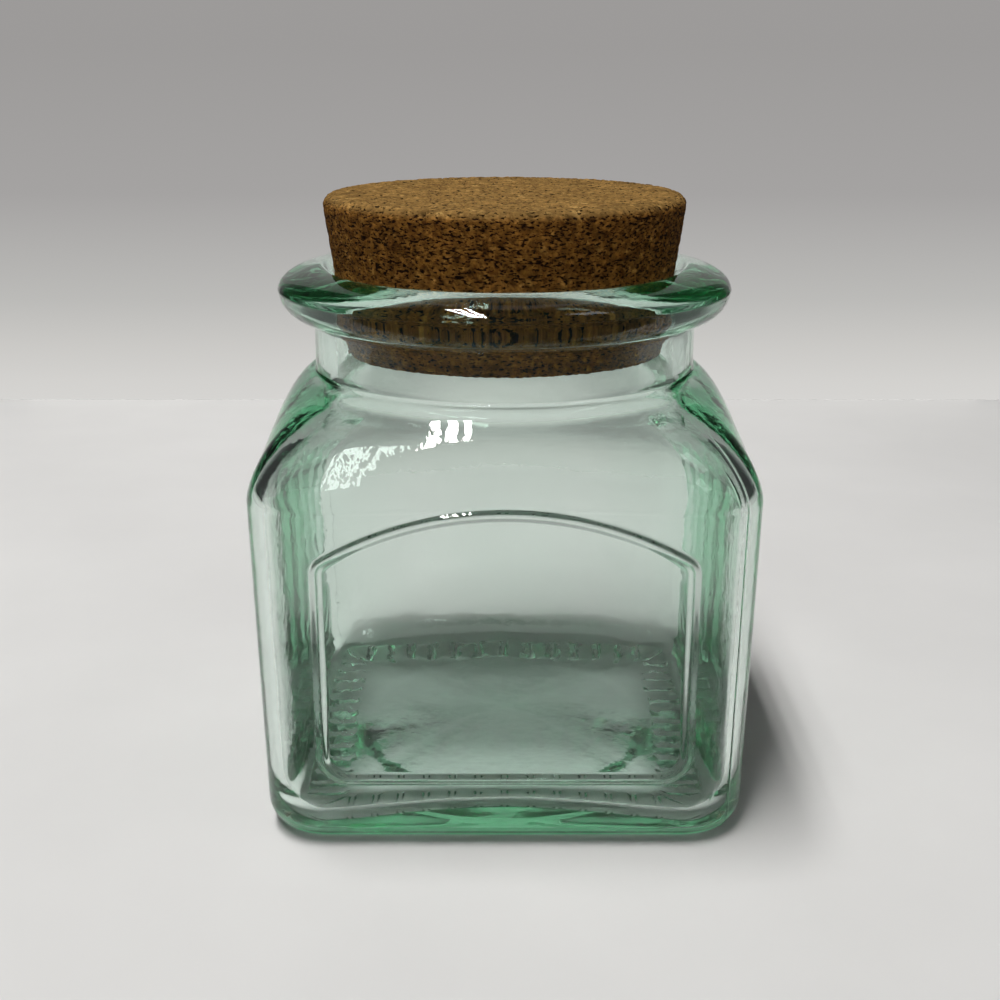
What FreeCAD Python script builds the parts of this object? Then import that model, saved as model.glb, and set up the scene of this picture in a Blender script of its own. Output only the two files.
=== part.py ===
"""Square glass storage jar with a tapered agglomerated-cork stopper.

The jar stands on z = 0 with its axis on Z, and the arched panel is on its front, the -Y side.
All sizes are in millimetres.
"""
import FreeCAD, Part
import math
import os

from FreeCAD import Vector

# Body of the jar, a square with rounded corners that widens a little upwards to the shoulder
BODY_WIDTH = 100.0
CORNER_RADIUS = 14.5
WALL_DRAFT_DEG = 1.45
HEEL_RADIUS = 6.0
SHOULDER_START_Z = 69.4

# Shoulder that turns the square into the round neck, and the narrow ledge left beside the neck
SHOULDER_RISE = 19.1
SHOULDER_ROUNDNESS = 1.57
SHOULDER_LEDGE = 0.5

# Neck, and the rolled bead that stands out from it round the mouth
NECK_RADIUS = 39.8
NECK_HEIGHT = 9.5
BEAD_PROJECTION = 7.2
BEAD_COVE_RADIUS = 1.6
BEAD_UPPER_HEIGHT = 4.4
LIP_RADIUS = 3.1

# Glass thickness and the inside of the floor
SIDE_WALL = 4.0
SHOULDER_WALL = 4.0
NECK_WALL = 4.5
FLOOR_THICKNESS = 7.5
FLOOR_DOME = 1.2
INNER_HEEL_RADIUS = 6.0

# Underside: a round recess with a sloping rim, inside a bearing ring with raised grip bars
PUSH_UP_DEPTH = 1.2
PUSH_UP_RIM = 2.5
BEARING_WIDTH = 7.0
BAR_PITCH = 5.2
BAR_LENGTH = 6.5
BAR_CROWN_WIDTH = 0.8
BAR_ROOT_WIDTH = 1.5
BAR_HEIGHT = 0.5

# Raised ridge that frames the arched panel on the front face
PANEL_BOTTOM_Z = 15.5
PANEL_CROWN_OVER_SHOULDER = 0.8
PANEL_ARCH_RISE = 10.1
PANEL_LOWER_CORNER = 5.5
PANEL_UPPER_CORNER = 2.5
RIDGE_RADIUS = 1.25
RIDGE_HEIGHT = 0.6

# Cork stopper, a cone that seats where the bore opens into the lip
CORK_HEIGHT = 31.7
CORK_DEPTH_BELOW_SEAT = 14.0
CORK_TAPER_DEG = 8.3
CORK_TOP_ROUNDING = 2.2
CORK_BOTTOM_ROUNDING = 1.0
SEAT_CLEARANCE = 0.2

# Sections that shape each loft, how far fused forms run into each other, and the largest
# share of a corner's radius that a round bottom edge may take up
HEEL_SECTIONS = 6
SHOULDER_SECTIONS = 9
OVERLAP = 0.5
LARGEST_HEEL_SHARE = 0.8

# Heights and half-widths that follow from the sizes above
base_z = BAR_HEIGHT
wall_low_z = base_z + HEEL_RADIUS
floor_z = base_z + FLOOR_THICKNESS
shoulder_top_z = SHOULDER_START_Z + SHOULDER_RISE
shoulder_middle_z = SHOULDER_START_Z + SHOULDER_RISE / 2
bead_lower_radius = BEAD_PROJECTION - BEAD_COVE_RADIUS
bead_under_z = shoulder_top_z + NECK_HEIGHT + BEAD_COVE_RADIUS
bead_middle_z = bead_under_z + bead_lower_radius
jar_height = bead_middle_z + BEAD_UPPER_HEIGHT
seat_z = jar_height - LIP_RADIUS
cork_bottom_z = seat_z - CORK_DEPTH_BELOW_SEAT

wall_draft = math.radians(WALL_DRAFT_DEG)
body_half = BODY_WIDTH / 2
base_half = body_half - (SHOULDER_START_Z - wall_low_z) * math.tan(wall_draft)
flat_half = body_half - CORNER_RADIUS
bead_radius = NECK_RADIUS + BEAD_PROJECTION
mouth_radius = NECK_RADIUS - NECK_WALL
crown_radius = mouth_radius + LIP_RADIUS


def rounded_square(half, corner, z):
    """Closed wire of four sides and four corner arcs, at one height."""
    flat = half - corner
    diagonal = flat + corner * math.sqrt(0.5)
    edges = []
    for quarter in range(4):
        turn = FreeCAD.Rotation(Vector(0, 0, 1), quarter * 90)
        side_start, side_end, arc_middle, arc_end = [
            turn.multVec(Vector(x, y, z))
            for x, y in ((half, -flat), (half, flat), (diagonal, diagonal), (flat, half))
        ]
        edges.append(Part.LineSegment(side_start, side_end).toShape())
        edges.append(Part.Arc(side_end, arc_middle, arc_end).toShape())
    return Part.Wire(edges)


def heel_sections(half, radius, z):
    """Sections of the round bottom edge, from the flat base up to the full width."""
    corner = half - flat_half
    sections = []
    for step in range(HEEL_SECTIONS):
        angle = step / (HEEL_SECTIONS - 1) * math.pi / 2
        inset = radius * (1 - math.sin(angle))
        rise = radius * (1 - math.cos(angle))
        sections.append(rounded_square(half - inset, corner - inset, z + rise))
    return sections


def shoulder_sections(half, neck, rise):
    """Sections that shrink and round off from the body's square to just short of the neck's circle."""
    corner = half - flat_half
    power = 2 / SHOULDER_ROUNDNESS
    last_angle = math.acos((SHOULDER_LEDGE / (half - neck)) ** (1 / power))
    sections = []
    for step in range(SHOULDER_SECTIONS):
        angle = step / (SHOULDER_SECTIONS - 1) * last_angle
        share = 1 - math.cos(angle) ** power
        height = math.sin(angle) ** power
        sections.append(rounded_square(half + (neck - half) * share, corner + (neck - corner) * share,
                                       SHOULDER_START_Z + rise * height))
    return sections


def square_body(low_half, high_half, heel, neck, z, rise):
    """Heel, drafted wall and shoulder as one solid; the wall's corners are cones about upright axes."""
    heel_wires = heel_sections(low_half, heel, z)
    shoulder_wires = shoulder_sections(high_half, neck, rise)
    heel_solid = Part.makeLoft(heel_wires, True, False)
    wall_solid = Part.makeLoft([heel_wires[-1], shoulder_wires[0]], True, True)
    shoulder_solid = Part.makeLoft(shoulder_wires, True, False)
    return heel_solid.fuse([wall_solid, shoulder_solid])


def line(start, end):
    """Straight edge between two (radius, height) points."""
    return Part.LineSegment(Vector(start[0], 0, start[1]), Vector(end[0], 0, end[1])).toShape()


def quarter_arc(start, end, centre):
    """Quarter circle between two (radius, height) points."""
    outward = Vector(start[0] + end[0] - 2 * centre[0], 0, start[1] + end[1] - 2 * centre[1])
    outward.normalize()
    radius = math.dist(start, centre)
    through = Vector(centre[0], 0, centre[1]) + outward * radius
    return Part.Arc(Vector(start[0], 0, start[1]), through, Vector(end[0], 0, end[1])).toShape()


def turned(edges):
    """Solid of revolution about Z from a closed chain of edges."""
    return Part.Face(Part.Wire(edges)).revolve(Vector(0, 0, 0), Vector(0, 0, 1), 360)


def neck_and_bead():
    """Solid neck with its rolled bead; the mouth is cut later."""
    foot = (NECK_RADIUS, shoulder_middle_z)
    cove_start = (NECK_RADIUS, bead_under_z - BEAD_COVE_RADIUS)
    under = (NECK_RADIUS + BEAD_COVE_RADIUS, bead_under_z)
    widest = (bead_radius, bead_middle_z)
    crown = (crown_radius, jar_height)
    upper = Part.Ellipse(Vector(bead_radius, 0, bead_middle_z), Vector(crown_radius, 0, jar_height),
                         Vector(crown_radius, 0, bead_middle_z))
    return turned([
        line((0, shoulder_middle_z), foot),
        line(foot, cove_start),
        quarter_arc(cove_start, under, (under[0], cove_start[1])),
        quarter_arc(under, widest, (under[0], bead_middle_z)),
        Part.ArcOfEllipse(upper, 0, math.pi / 2).toShape(),
        line(crown, (0, jar_height)),
        line((0, jar_height), (0, shoulder_middle_z)),
    ])


def mouth_bore(low_z):
    """Bore of the neck with the rounded lip above it."""
    foot = (mouth_radius, low_z)
    lip_start = (mouth_radius, seat_z)
    crown = (crown_radius, jar_height)
    above = jar_height + OVERLAP
    return turned([
        line((0, low_z), foot),
        line(foot, lip_start),
        quarter_arc(lip_start, crown, (crown_radius, seat_z)),
        line(crown, (crown_radius, above)),
        line((crown_radius, above), (0, above)),
        line((0, above), (0, low_z)),
    ])


def spherical_cap(footprint_radius, height, z):
    """Cap of a large sphere that stands on the plane z and rises by height."""
    sphere_radius = (footprint_radius ** 2 + height ** 2) / (2 * height)
    sphere = Part.makeSphere(sphere_radius, Vector(0, 0, z + height - sphere_radius))
    keep = Part.makeCylinder(footprint_radius + OVERLAP, height + OVERLAP, Vector(0, 0, z))
    return sphere.common(keep)


def cavity():
    """Space inside the jar over a domed floor, up to and through the mouth."""
    low_half = base_half - SIDE_WALL
    heel = min(INNER_HEEL_RADIUS, LARGEST_HEEL_SHARE * (low_half - flat_half))
    rise = SHOULDER_RISE - SHOULDER_WALL
    body = square_body(low_half, body_half - SIDE_WALL, heel, mouth_radius, floor_z, rise)
    dome = spherical_cap(low_half - heel - OVERLAP, FLOOR_DOME, floor_z)
    return body.cut(dome).fuse(mouth_bore(SHOULDER_START_Z + rise / 2))


def push_up():
    """Shallow recess under the base, with a sloping rim that ends at the bearing ring."""
    radius = base_half - HEEL_RADIUS - BEARING_WIDTH
    slope = PUSH_UP_RIM / PUSH_UP_DEPTH
    return Part.makeCone(radius + OVERLAP * slope, radius - PUSH_UP_RIM, PUSH_UP_DEPTH + OVERLAP,
                         Vector(0, 0, base_z - OVERLAP))


def panel_path():
    """Arched outline as wide as the flat front, drawn in XY with y measured up from z = 0."""
    crown_y = SHOULDER_START_Z + PANEL_CROWN_OVER_SHOULDER
    arch_radius = (flat_half ** 2 + PANEL_ARCH_RISE ** 2) / (2 * PANEL_ARCH_RISE)
    arch_centre = Vector(0, crown_y - arch_radius, 0)
    low = PANEL_LOWER_CORNER
    high = PANEL_UPPER_CORNER

    corner_lift = math.sqrt((arch_radius - high) ** 2 - (flat_half - high) ** 2)
    high_centre = arch_centre + Vector(flat_half - high, corner_lift, 0)
    low_centre = Vector(flat_half - low, PANEL_BOTTOM_Z + low, 0)
    up_and_out = (high_centre - arch_centre).normalize()
    high_middle = high_centre + (up_and_out + Vector(1, 0, 0)).normalize() * high
    low_middle = low_centre + Vector(1, -1, 0).normalize() * low
    arch_end = high_centre + up_and_out * high
    side_top = Vector(flat_half, high_centre.y, 0)
    side_bottom = Vector(flat_half, low_centre.y, 0)
    bottom_end = Vector(low_centre.x, PANEL_BOTTOM_Z, 0)

    def mirrored(point):
        return Vector(-point.x, point.y, 0)

    curves = [
        Part.LineSegment(mirrored(bottom_end), bottom_end),
        Part.Arc(bottom_end, low_middle, side_bottom),
        Part.LineSegment(side_bottom, side_top),
        Part.Arc(side_top, high_middle, arch_end),
        Part.Arc(arch_end, Vector(0, crown_y, 0), mirrored(arch_end)),
        Part.Arc(mirrored(arch_end), mirrored(high_middle), mirrored(side_top)),
        Part.LineSegment(mirrored(side_top), mirrored(side_bottom)),
        Part.Arc(mirrored(side_bottom), mirrored(low_middle), mirrored(bottom_end)),
    ]
    return Part.Wire([curve.toShape() for curve in curves])


def panel_ridge():
    """Round ridge swept along the panel outline and laid on the drafted front face."""
    path = panel_path()
    section = Part.Circle(path.Vertexes[0].Point, Vector(1, 0, 0), RIDGE_RADIUS)
    ridge = path.makePipeShell([Part.Wire(section.toShape())], True, False)
    ridge.translate(Vector(0, -wall_low_z / math.cos(wall_draft), RIDGE_HEIGHT - RIDGE_RADIUS))
    ridge.rotate(Vector(0, 0, 0), Vector(1, 0, 0), 90 + WALL_DRAFT_DEG)
    ridge.translate(Vector(0, -base_half, wall_low_z))
    return ridge


def grip_bar(outer_reach):
    """One raised bar under the base that ends outer_reach in front of the axis, crown on z = 0."""
    crown = BAR_CROWN_WIDTH / 2
    root = BAR_ROOT_WIDTH / 2
    top = base_z + OVERLAP
    corners = [(-crown, 0), (crown, 0), (root, base_z), (root, top), (-root, top), (-root, base_z)]
    points = [Vector(x, -outer_reach, z) for x, z in corners]
    face = Part.Face(Part.makePolygon(points + points[:1]))
    return face.extrude(Vector(0, BAR_LENGTH, 0))


def grip_bars():
    """Bars square to each side of the base, and one across each corner."""
    reach = base_half - HEEL_RADIUS
    corner_reach = flat_half * math.sqrt(2) + reach - flat_half
    each_way = int(flat_half // BAR_PITCH)
    bars = []
    for side in range(4):
        for place in range(-each_way, each_way + 1):
            bar = grip_bar(reach)
            bar.translate(Vector(place * BAR_PITCH, 0, 0))
            bar.rotate(Vector(0, 0, 0), Vector(0, 0, 1), side * 90)
            bars.append(bar)
        corner_bar = grip_bar(corner_reach)
        corner_bar.rotate(Vector(0, 0, 0), Vector(0, 0, 1), side * 90 + 45)
        bars.append(corner_bar)
    return bars


def glass_jar():
    """Moulded one-piece jar: outer form, cavity, recess under the base, panel ridge and grip bars."""
    outer = square_body(base_half, body_half, HEEL_RADIUS, NECK_RADIUS, base_z, SHOULDER_RISE)
    shell = outer.fuse(neck_and_bead()).cut(cavity()).cut(push_up())
    return shell.fuse([panel_ridge()] + grip_bars()).removeSplitter()


def cork_stopper():
    """Tapered cork with rounded edges, seated just inside the lip."""
    slope = math.tan(math.radians(CORK_TAPER_DEG))
    bottom_radius = mouth_radius - SEAT_CLEARANCE - slope * CORK_DEPTH_BELOW_SEAT
    top_radius = bottom_radius + slope * CORK_HEIGHT
    cork = Part.makeCone(bottom_radius, top_radius, CORK_HEIGHT, Vector(0, 0, cork_bottom_z))
    for rounding, z in ((CORK_BOTTOM_ROUNDING, cork_bottom_z), (CORK_TOP_ROUNDING, cork_bottom_z + CORK_HEIGHT)):
        rim = [edge for edge in cork.Edges if all(abs(v.Z - z) < OVERLAP for v in edge.Vertexes)]
        cork = cork.makeFillet(rounding, rim)
    return cork


os.makedirs("parts", exist_ok=True)
for name, shape in (("glass_jar", glass_jar()), ("cork_stopper", cork_stopper())):
    shape.exportStep("parts/" + name + ".step")
    print(name, "valid", shape.isValid(), "solids", len(shape.Solids), "faces", len(shape.Faces),
          "volume", round(shape.Volume / 1000, 2), "cm3")
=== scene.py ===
"""Looks of a square pale-green glass jar with a tapered stopper of agglomerated cork.

Everything is in metres in the part's own frame: the jar stands on z = 0 with its axis on Z,
and the face with the arched panel looks along -Y.
"""
import math

import bmesh
import bpy
import numpy as np
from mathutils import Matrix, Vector, noise

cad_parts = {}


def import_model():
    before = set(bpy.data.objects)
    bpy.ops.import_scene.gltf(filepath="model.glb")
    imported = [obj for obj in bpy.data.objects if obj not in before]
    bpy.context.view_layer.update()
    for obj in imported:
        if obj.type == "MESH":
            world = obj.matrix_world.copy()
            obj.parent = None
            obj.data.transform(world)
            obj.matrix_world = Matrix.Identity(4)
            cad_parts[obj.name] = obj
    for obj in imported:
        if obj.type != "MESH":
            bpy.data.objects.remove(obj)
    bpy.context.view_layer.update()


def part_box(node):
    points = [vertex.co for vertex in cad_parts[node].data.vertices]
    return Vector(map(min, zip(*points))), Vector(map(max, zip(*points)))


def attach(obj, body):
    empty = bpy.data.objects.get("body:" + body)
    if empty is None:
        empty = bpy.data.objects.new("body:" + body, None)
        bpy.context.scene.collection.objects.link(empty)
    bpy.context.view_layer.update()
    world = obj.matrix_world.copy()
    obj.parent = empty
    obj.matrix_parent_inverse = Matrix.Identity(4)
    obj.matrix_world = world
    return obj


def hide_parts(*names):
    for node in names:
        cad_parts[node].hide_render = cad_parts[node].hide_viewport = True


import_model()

MM = 0.001
jar_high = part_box("glass_jar")[1]
cork_low, cork_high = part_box("cork_stopper")

# Outside of the jar
BODY_HALF = jar_high.x
JAR_TOP_Z = jar_high.z
CORNER_RADIUS = 14.5 * MM
WALL_DRAFT = math.radians(1.45)
HEEL_RADIUS = 6.0 * MM
BASE_Z = 0.5 * MM
SHOULDER_LOW_Z = 69.4 * MM
SHOULDER_RISE = 19.1 * MM
SHOULDER_POWER = 2 / 1.57
NECK_RADIUS = 39.8 * MM
NECK_FILLET = 0.9 * MM
BEAD_RADIUS = 47.0 * MM
BEAD_COVE = 1.6 * MM
BEAD_UPPER = 4.4 * MM
LIP_RADIUS = 3.1 * MM

# Inside of the jar: side walls that thicken from the front corners to the back ones, front and back
# walls that swell a little, and a floor that rises to the back and dips into its four corners
CORNER_WALL = 3.2 * MM
SIDE_WEDGE = 2.7 * MM
BACK_CORNER_RUN = 18.0 * MM
FRONT_SWELL = 0.8 * MM
FRONT_SWELL_HALF = 30.0 * MM
FRONT_SWELL_POWER = 1.5
SHOULDER_WALL = 4.0 * MM
MOUTH_RADIUS = 35.3 * MM
NECK_FOOT_ROUNDING = 4.5 * MM
NECK_FOOT_SHARE = 0.7
SLOPE_STEP = 0.01
INNER_HEEL = 6.0 * MM
INNER_HEEL_TOP_Z = 14.3 * MM
FLOOR_CORNER_Z = 6.4 * MM
FLOOR_SIDE_LIFT = 2.8 * MM
FLOOR_CENTRE_Z = 9.8 * MM
FLOOR_TILT = 0.075

# Underside: a flat disc that stands a little proud, and round it a ring with grip bars
DISC_PROUD = 0.15 * MM
DISC_RIM = 4.0 * MM
BEARING_WIDTH = 10.0 * MM
BEARING_FIRST_SHARE = 0.03
BAR_PITCH = 5.2 * MM
BAR_LENGTH = 9.5 * MM
BAR_CROWN = 0.8 * MM
BAR_ROOT = 1.5 * MM
BAR_MARGIN = 0.8 * BASE_Z
UNDERSIDE_TOP_Z = 1.05 * BASE_Z

# Raised ridge round the arched panel
PANEL_BOTTOM_Z = 15.5 * MM
PANEL_CROWN_Z = 70.2 * MM
PANEL_ARCH_RISE = 10.1 * MM
PANEL_LOWER_CORNER = 5.5 * MM
PANEL_UPPER_CORNER = 2.5 * MM
RIDGE_HALF_WIDTH = 1.07 * MM
RIDGE_HEIGHT = 0.6 * MM
RIDGE_SOFTNESS = 0.1 * RIDGE_HEIGHT
RIDGE_RUN_OUT = 2 * RIDGE_HALF_WIDTH
RIDGE_MARGIN = 0.9 * MM

# Mould seams: one round the bead, and one down two opposite corners
SEAM_HEIGHT = 0.13 * MM
SEAM_HALF_WIDTH = 0.3 * MM
SEAM_ANGLES = (math.radians(-45), math.radians(135))
SEAM_LEAST_REACH = 0.6
SEAM_SHOULDER_SLACK = 0.94

# Ripple of the blown glass: heights, length, and the pitch and weight of each set of waves
INNER_RIPPLE = 0.022 * MM
FLOOR_RIPPLE = 0.05 * MM
OUTER_RIPPLE = 0.015 * MM
RIPPLE_LENGTH = 9.0 * MM
RIPPLE_WAVES = ((1.0, 1.0), (2.3, 0.45), (6.1, 0.15))
FLOOR_FACING = 0.3

# Mesh columns round the jar: how many, how crowded at the corners, and extra ones beside each seam
COLUMNS = 256
CORNER_CROWDING = 0.4
SEAM_COLUMNS = (-1.3, -0.8, -0.4, 0.4, 0.8, 1.3)
REFINE_CUTS = 3

# Mesh rows of each stretch, from the middle of the underside over the rim to the middle of the floor
DISC_ROWS = 9
DISC_RIM_ROWS = 8
BEARING_ROWS = 11
HEEL_ROWS = 9
WALL_ROWS = 46
SHOULDER_ROWS = 24
NECK_FILLET_ROWS = 4
NECK_ROWS = 7
COVE_ROWS = 5
BEAD_LOWER_ROWS = 12
BEAD_UPPER_ROWS = 16
LIP_ROWS = 9
BORE_ROWS = 9
NECK_FOOT_ROWS = 10
INNER_SHOULDER_ROWS = 14
INNER_WALL_ROWS = 28
INNER_HEEL_ROWS = 10
FLOOR_ROWS = 13

# Heights and widths that follow
QUARTER = math.pi / 2
WALL_LOW_Z = BASE_Z + HEEL_RADIUS
BASE_HALF = BODY_HALF - (SHOULDER_LOW_Z - WALL_LOW_Z) * math.tan(WALL_DRAFT)
FLAT_HALF = BODY_HALF - CORNER_RADIUS
CORNER_REACH = FLAT_HALF * math.sqrt(2) + CORNER_RADIUS
BEAD_MIDDLE_Z = JAR_TOP_Z - BEAD_UPPER
BEAD_LOWER = BEAD_RADIUS - NECK_RADIUS - BEAD_COVE
CROWN_RADIUS = MOUTH_RADIUS + LIP_RADIUS
SEAT_Z = JAR_TOP_Z - LIP_RADIUS
DISC_RADIUS = BASE_HALF - HEEL_RADIUS - BEARING_WIDTH


def column_angles():
    """Angles of the mesh columns: closer together at the corners, with extra ones for the seams."""
    turn = np.arange(COLUMNS) / COLUMNS * 2 * math.pi - math.pi
    angles = turn + CORNER_CROWDING / 4 * np.sin(4 * turn)
    offsets = np.array(SEAM_COLUMNS) * SEAM_HALF_WIDTH / CORNER_REACH
    extra = [angle + offsets for angle in SEAM_ANGLES]
    return np.sort(np.concatenate([angles] + extra))


ANGLES = column_angles()
COS = np.cos(ANGLES)
SIN = np.sin(ANGLES)
WIDE = np.maximum(abs(COS), abs(SIN))
THIN = np.minimum(abs(COS), abs(SIN))


def square_reach(half, corner):
    """Distance from the axis to a rounded square, column by column; a circle if half equals corner."""
    flat = half - corner
    on_arc = flat * (WIDE + THIN) + np.sqrt(np.maximum(corner ** 2 - (flat * (WIDE - THIN)) ** 2, 0))
    return np.where(half * THIN <= flat * WIDE, half / WIDE, on_arc)


def row(reach, z):
    """One ring of points."""
    reach = np.broadcast_to(reach, ANGLES.shape)
    return np.stack([reach * COS, reach * SIN, np.broadcast_to(z, ANGLES.shape)], axis=1)


def steps(count, first=False):
    """Evenly spaced shares up to 1, without 0 unless first is set."""
    return [i / count for i in range(0 if first else 1, count + 1)]


def smooth(low, high, value):
    """Smooth step from 0 at low to 1 at high."""
    share = np.clip((value - low) / (high - low), 0, 1)
    return share * share * (3 - 2 * share)


def wall_half(z):
    """Half-width of the drafted outside wall."""
    return BODY_HALF - (SHOULDER_LOW_Z - z) * math.tan(WALL_DRAFT)


def outer_reach(half):
    """Outside of the body: a rounded square whose flats end where the panel does."""
    return square_reach(half, half - FLAT_HALF)


def inner_reach(half):
    """Inside of the body: corners round the same centres as the outside ones, sides thicker to the back."""
    square = outer_reach(half)
    at_side = abs(COS) > abs(SIN)
    to_the_back = np.clip((square * SIN / FLAT_HALF + 1) / 2, 0, 1)
    back_corner = np.where(SIN > 0, smooth(FLAT_HALF - BACK_CORNER_RUN, FLAT_HALF, abs(square * COS)), 0)
    swell = FRONT_SWELL * np.maximum(1 - (square * COS / FRONT_SWELL_HALF) ** 2, 0) ** FRONT_SWELL_POWER
    return square - np.where(at_side, SIDE_WEDGE * to_the_back, SIDE_WEDGE * back_corner + swell) / WIDE


def shoulder_row(foot, neck, rise, share):
    """Ring of the shoulder, which turns its foot into the neck's circle as share goes from 0 to 1."""
    lean = (1 - share) ** (1 / SHOULDER_POWER)
    height = math.sqrt(1 - lean ** 2) ** SHOULDER_POWER
    return foot * (1 - share) + neck * share, SHOULDER_LOW_Z + rise * height


def underside_rows():
    """Flat disc under the base with its sloping rim, then the ring of the grip bars out to the heel."""
    rows = []
    flat_radius = DISC_RADIUS - DISC_RIM
    for share in steps(DISC_ROWS):
        rows.append(row(flat_radius * share, BASE_Z - DISC_PROUD))
    for share in steps(DISC_RIM_ROWS):
        rise = float(smooth(0, 1, share))
        rows.append(row(flat_radius + DISC_RIM * share, BASE_Z - DISC_PROUD * (1 - rise)))
    outer = outer_reach(BASE_HALF - HEEL_RADIUS)
    for share in [BEARING_FIRST_SHARE] + steps(BEARING_ROWS):
        rows.append(row(DISC_RADIUS + (outer - DISC_RADIUS) * share, BASE_Z))
    return rows


def outside_rows():
    """Heel, wall and shoulder, up to the foot of the neck."""
    rows = []
    for share in steps(HEEL_ROWS):
        angle = share * QUARTER
        half = BASE_HALF - HEEL_RADIUS * (1 - math.sin(angle))
        rows.append(row(outer_reach(half), BASE_Z + HEEL_RADIUS * (1 - math.cos(angle))))
    for share in steps(WALL_ROWS):
        z = WALL_LOW_Z + (SHOULDER_LOW_Z - WALL_LOW_Z) * share
        rows.append(row(outer_reach(wall_half(z)), z))
    last = 1 - NECK_FILLET / (BODY_HALF - NECK_RADIUS)
    foot = outer_reach(BODY_HALF)
    for turn in steps(SHOULDER_ROWS):
        share = 1 - math.cos(turn * math.acos(1 - last))
        rows.append(row(*shoulder_row(foot, NECK_RADIUS, SHOULDER_RISE, share)))
    reach, z = shoulder_row(foot, NECK_RADIUS, SHOULDER_RISE, last)
    for share in steps(NECK_FILLET_ROWS):
        angle = share * QUARTER
        blend = 1 - math.sin(angle)
        rows.append(row(NECK_RADIUS + (reach - NECK_RADIUS) * blend, z + NECK_FILLET * (1 - math.cos(angle))))
    return rows


def rim_rows():
    """Neck, rolled bead with its seam, and the rounded lip, down to the seat of the stopper."""
    rows = []
    cove_z = BEAD_MIDDLE_Z - BEAD_LOWER - BEAD_COVE
    low_z = SHOULDER_LOW_Z + SHOULDER_RISE + NECK_FILLET
    for share in steps(NECK_ROWS):
        rows.append(row(NECK_RADIUS, low_z + (cove_z - low_z) * share))
    for share in steps(COVE_ROWS):
        angle = share * QUARTER
        radius = NECK_RADIUS + BEAD_COVE * (1 - math.cos(angle))
        rows.append(row(radius, cove_z + BEAD_COVE * math.sin(angle)))
    centre = BEAD_RADIUS - BEAD_LOWER
    for share in steps(BEAD_LOWER_ROWS):
        angle = (share - 1) * QUARTER
        rows.append(row(centre + BEAD_LOWER * math.cos(angle), BEAD_MIDDLE_Z + BEAD_LOWER * math.sin(angle)))
    rows.insert(-1, row(BEAD_RADIUS, BEAD_MIDDLE_Z - SEAM_HALF_WIDTH))
    rows[-1] = row(BEAD_RADIUS + SEAM_HEIGHT, BEAD_MIDDLE_Z)
    rows.append(row(BEAD_RADIUS, BEAD_MIDDLE_Z + SEAM_HALF_WIDTH))
    for share in steps(BEAD_UPPER_ROWS)[1:]:
        angle = share * QUARTER
        radius = CROWN_RADIUS + (BEAD_RADIUS - CROWN_RADIUS) * math.cos(angle)
        rows.append(row(radius, BEAD_MIDDLE_Z + BEAD_UPPER * math.sin(angle)))
    for share in steps(LIP_ROWS):
        angle = (1 + share) * QUARTER
        rows.append(row(CROWN_RADIUS + LIP_RADIUS * math.cos(angle), SEAT_Z + LIP_RADIUS * math.sin(angle)))
    return rows


def bore_rows(foot, rise):
    """Bore of the neck, its rounded foot, and the inner shoulder down to the top of the inner wall."""
    rows = []
    reach, z = shoulder_row(foot, MOUTH_RADIUS, rise, NECK_FOOT_SHARE)
    below, below_z = shoulder_row(foot, MOUTH_RADIUS, rise, NECK_FOOT_SHARE - SLOPE_STEP)
    corner_z = z + (z - below_z) / (below - reach) * (reach - MOUTH_RADIUS)
    bore_z = corner_z + NECK_FOOT_ROUNDING
    for share in steps(BORE_ROWS):
        rows.append(row(MOUTH_RADIUS, SEAT_Z + (bore_z - SEAT_Z) * share))
    for share in steps(NECK_FOOT_ROWS):
        rest = 1 - share
        rows.append(row(MOUTH_RADIUS + (reach - MOUTH_RADIUS) * share ** 2,
                        bore_z * rest ** 2 + corner_z * 2 * share * rest + z * share ** 2))
    for turn in reversed(steps(INNER_SHOULDER_ROWS, first=True)[:-1]):
        share = 1 - math.cos(turn * math.acos(1 - NECK_FOOT_SHARE))
        rows.append(row(*shoulder_row(foot, MOUTH_RADIUS, rise, share)))
    return rows


def floor_edge_z():
    """Height of the inner floor along its edge: highest at the middle of each side."""
    toward_corner = THIN / WIDE
    return FLOOR_CORNER_Z + FLOOR_SIDE_LIFT * (1 - toward_corner ** 2) ** 2


def inside_rows():
    """Bore, inner shoulder, inner wall, inner heel and domed floor."""
    rows = bore_rows(inner_reach(BODY_HALF - CORNER_WALL), SHOULDER_RISE - SHOULDER_WALL)
    for share in steps(INNER_WALL_ROWS):
        z = SHOULDER_LOW_Z + (INNER_HEEL_TOP_Z - SHOULDER_LOW_Z) * share
        rows.append(row(inner_reach(wall_half(z) - CORNER_WALL), z))
    edge_z = floor_edge_z()
    low_half = wall_half(INNER_HEEL_TOP_Z) - CORNER_WALL
    for share in steps(INNER_HEEL_ROWS):
        angle = share * QUARTER
        edge = inner_reach(low_half - INNER_HEEL * (1 - math.cos(angle)))
        low_z = edge_z + FLOOR_TILT * edge * SIN
        rows.append(row(edge, INNER_HEEL_TOP_Z - (INNER_HEEL_TOP_Z - low_z) * math.sin(angle)))
    for share in steps(FLOOR_ROWS)[:-1]:
        scale = 1 - share
        dome_z = FLOOR_CENTRE_Z + (edge_z - FLOOR_CENTRE_Z) * scale ** 2
        rows.append(row(edge * scale, dome_z + FLOOR_TILT * edge * scale * SIN))
    return rows


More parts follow.
